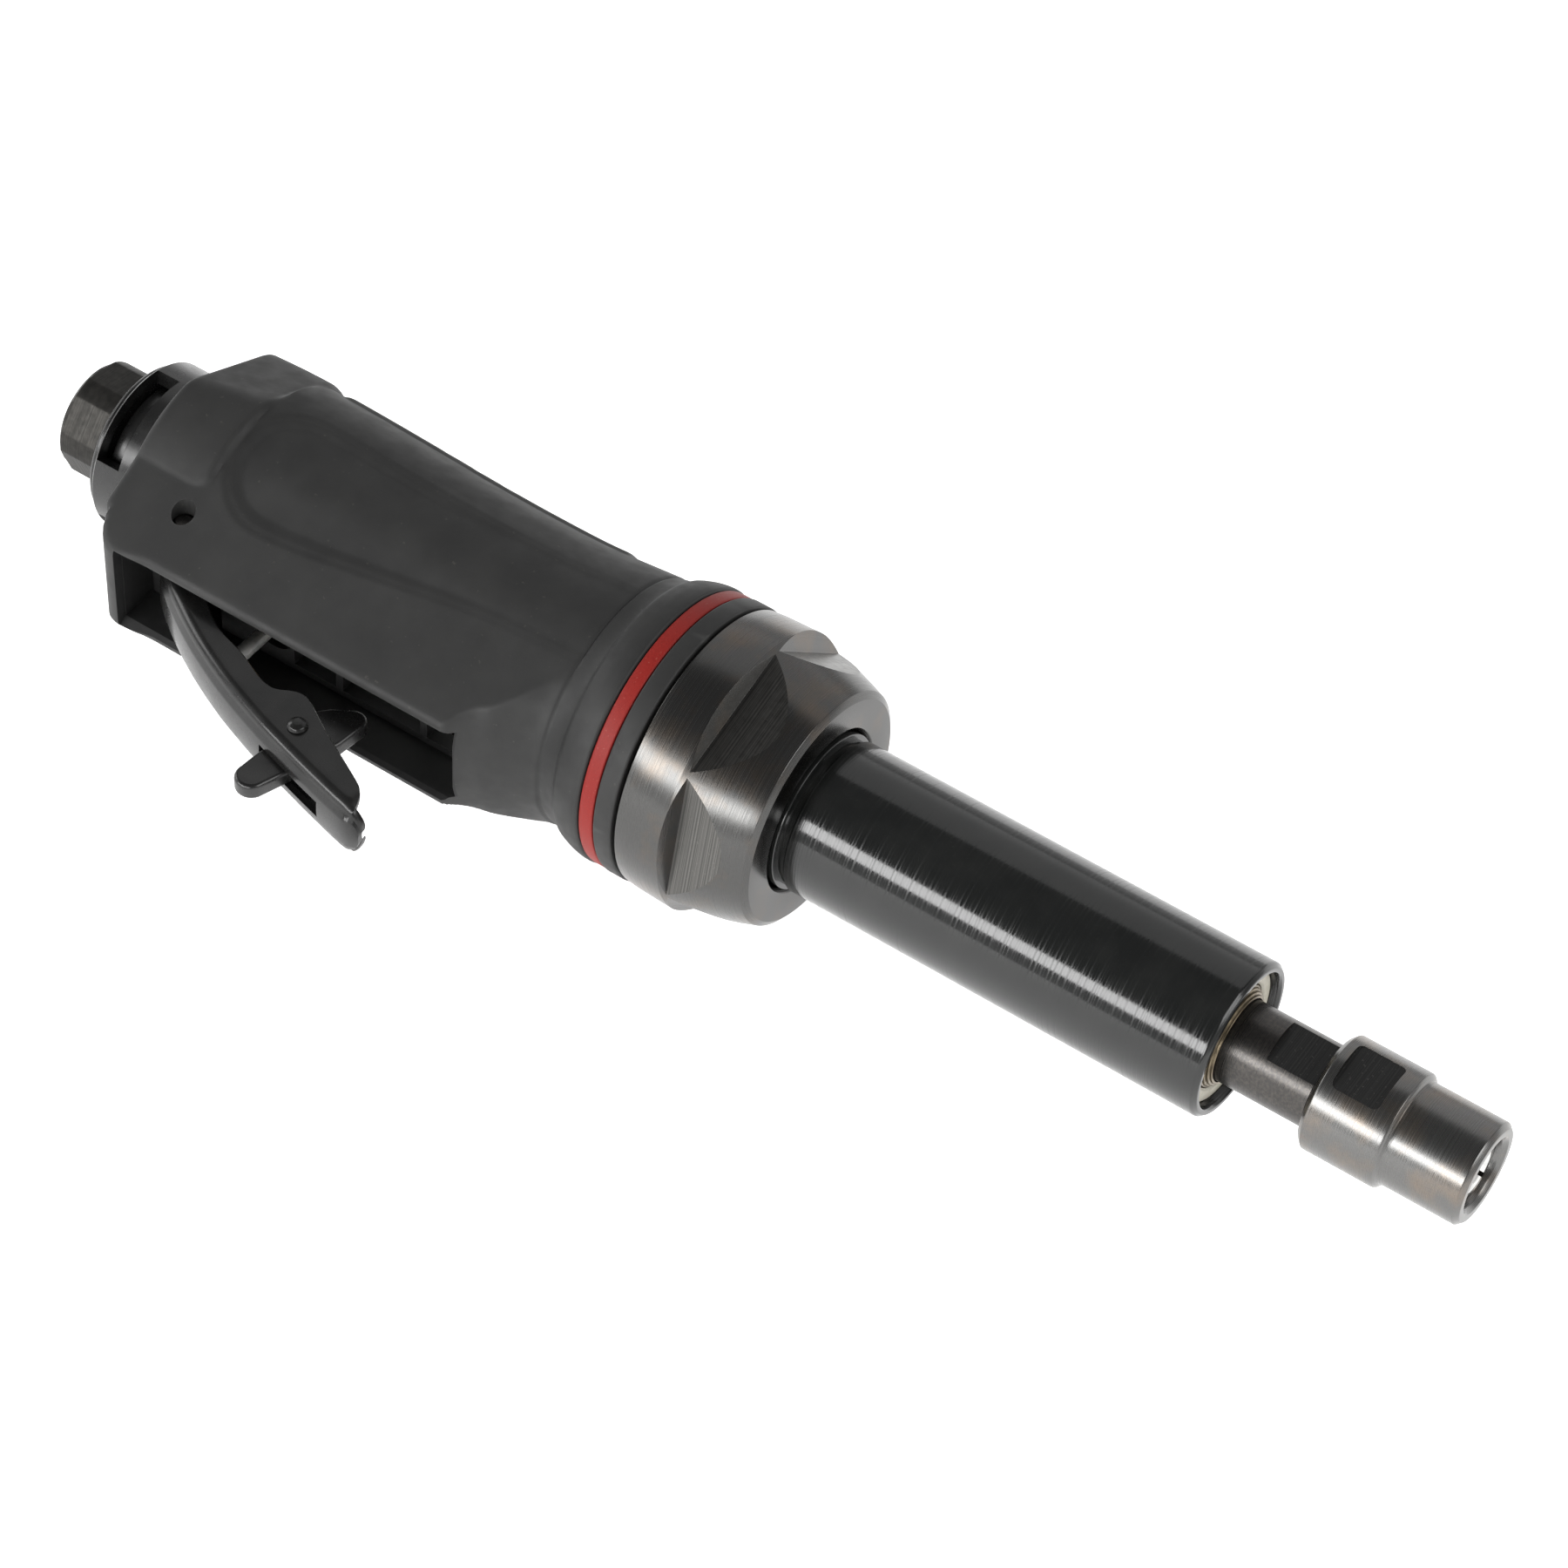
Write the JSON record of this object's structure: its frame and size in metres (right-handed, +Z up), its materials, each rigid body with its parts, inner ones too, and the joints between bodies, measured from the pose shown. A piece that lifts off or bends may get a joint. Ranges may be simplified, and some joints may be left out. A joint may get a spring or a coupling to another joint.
{
  "type": "air die grinder",
  "caption": "Long-nose air die grinder: composite grip with lever throttle and safety lock, red band, notched steel clamp nut, black nose tube and collet chuck.",
  "frame": {"origin": "centre of the underside of the tool's bounding box, as it lies on its side on its clamp nut", "axes": "+X along the spindle from the air inlet to the collet, +Z up, +Y away from the throttle lever"},
  "size_m": [0.2828, 0.0804, 0.0522],
  "materials": {
    "grip_composite": "fine-grained charcoal composite",
    "red_anodised": "satin red band",
    "housing_alloy": "die-cast, silver grey",
    "gunmetal_steel": "turned steel, blackened, with warm brown tints",
    "black_oxide": "turned steel, glossy black finish",
    "bearing_steel": "ground and polished",
    "plain_steel": "machined, bare",
    "brass": "turned",
    "seal_rubber": "moulded",
    "black_plastic": "moulded, semi-gloss black",
    "black_enamel": "pressed steel sheet, gloss black enamel",
    "vane_resin": "fabric-filled phenolic resin",
    "washer_metal": "plated washer, pale cream"
  },
  "bodies": {
    "housing": {"grip_shell": "grip_composite", "motor_housing": "housing_alloy", "grip_red_band": "red_anodised", "grip_lock_ring": "grip_composite", "inlet_bushing": "gunmetal_steel", "inlet_screen": "brass", "inlet_o_ring": "seal_rubber", "exhaust_baffle_ring": "black_plastic", "lever_pivot_pin": "plain_steel", "valve_bush": "brass", "valve_plug": "brass", "valve_spring": "plain_steel", "rear_end_plate": "plain_steel", "rear_motor_bearing_outer_race": "bearing_steel", "motor_cylinder": "plain_steel", "front_end_plate": "plain_steel", "locating_pin": "plain_steel", "front_motor_bearing_outer_race": "bearing_steel", "wave_washer": "plain_steel", "clamp_nut": "gunmetal_steel", "nose_tube": "black_oxide", "rear_nose_bearing_outer_race": "bearing_steel", "front_nose_bearing_outer_race": "bearing_steel", "bearing_spacer": "plain_steel", "bearing_retainer": "washer_metal", "spindle_dust_ring": "brass"},
    "spindle": {"rotor": "plain_steel", "rotor_vane_1": "vane_resin", "rotor_vane_2": "vane_resin", "rotor_vane_3": "vane_resin", "rotor_vane_4": "vane_resin", "rotor_vane_5": "vane_resin", "rear_motor_bearing_inner_race": "bearing_steel", "front_motor_bearing_inner_race": "bearing_steel", "drive_coupling": "plain_steel", "nose_spindle": "black_oxide", "rear_nose_bearing_inner_race": "bearing_steel", "front_nose_bearing_inner_race": "bearing_steel"},
    "rear_motor_balls": {"rear_motor_bearing_ball_cage": "brass"},
    "front_motor_balls": {"front_motor_bearing_ball_cage": "brass"},
    "rear_nose_balls": {"rear_nose_bearing_ball_cage": "brass"},
    "front_nose_balls": {"front_nose_bearing_ball_cage": "brass"},
    "collet": {"collet": "bearing_steel"},
    "collet_nut": {"collet_nut": "gunmetal_steel"},
    "deflector": {"exhaust_deflector": "black_plastic"},
    "lever": {"throttle_lever": "black_enamel", "safety_lock_rivet": "black_enamel", "safety_lock_spring": "plain_steel"},
    "safety_lock": {"safety_lock": "black_plastic"},
    "valve": {"valve_stem": "plain_steel", "valve_seal": "seal_rubber"}
  },
  "joints": [
    {"name": "spindle_spin", "type": "hinge", "parent": "housing", "child": "spindle", "pos_m": [0, 0.0141, 0.0261], "axis": [1, 0, 0], "continuous": true},
    {"name": "rear_motor_balls_spin", "type": "hinge", "parent": "housing", "child": "rear_motor_balls", "pos_m": [-0.06815, 0.0141, 0.0261], "axis": [1, 0, 0], "continuous": true},
    {"name": "front_motor_balls_spin", "type": "hinge", "parent": "housing", "child": "front_motor_balls", "pos_m": [-0.01825, 0.0141, 0.0261], "axis": [1, 0, 0], "continuous": true},
    {"name": "rear_nose_balls_spin", "type": "hinge", "parent": "housing", "child": "rear_nose_balls", "pos_m": [0.00825, 0.0141, 0.0261], "axis": [1, 0, 0], "continuous": true},
    {"name": "front_nose_balls_spin", "type": "hinge", "parent": "housing", "child": "front_nose_balls", "pos_m": [0.08565, 0.0141, 0.0261], "axis": [1, 0, 0], "continuous": true},
    {"name": "collet_slide", "type": "slide", "parent": "spindle", "child": "collet", "axis": [1, 0, 0], "range_m": [0, 0.001]},
    {"name": "nut_turn", "type": "hinge", "parent": "collet", "child": "collet_nut", "pos_m": [0.127, 0.0141, 0.0261], "axis": [1, 0, 0], "range_deg": [0, 360]},
    {"name": "deflector_turn", "type": "hinge", "parent": "housing", "child": "deflector", "pos_m": [-0.124, 0.0141, 0.0261], "axis": [1, 0, 0], "continuous": true},
    {"name": "lever_press", "type": "hinge", "parent": "housing", "child": "lever", "pos_m": [-0.10335, -0.0066, 0.0261], "axis": [0, 0, 1], "range_deg": [0, 14], "stiffness_Nm_per_rad": 1, "springref_deg": -14.32},
    {"name": "safety_lock_turn", "type": "hinge", "parent": "lever", "child": "safety_lock", "pos_m": [-0.06235, -0.0274, 0.0261], "axis": [0, 0, 1], "range_deg": [0, 46]},
    {"name": "valve_slide", "type": "slide", "parent": "housing", "child": "valve", "axis": [0, 1, 0], "range_m": [0, 0.0062], "deforming": ["valve_spring"]}
  ],
  "couplings": [
    {"joint": "rear_motor_balls_spin", "follows": "spindle_spin", "ratio": 0.402},
    {"joint": "front_motor_balls_spin", "follows": "spindle_spin", "ratio": 0.402},
    {"joint": "rear_nose_balls_spin", "follows": "spindle_spin", "ratio": 0.42},
    {"joint": "front_nose_balls_spin", "follows": "spindle_spin", "ratio": 0.42},
    {"joint": "nut_turn", "follows": "collet_slide", "rad_per_m": 6283},
    {"joint": "safety_lock_turn", "follows": "lever_press", "ratio": 3.2143},
    {"joint": "valve_slide", "follows": "lever_press", "m_per_rad": 0.025}
  ]
}
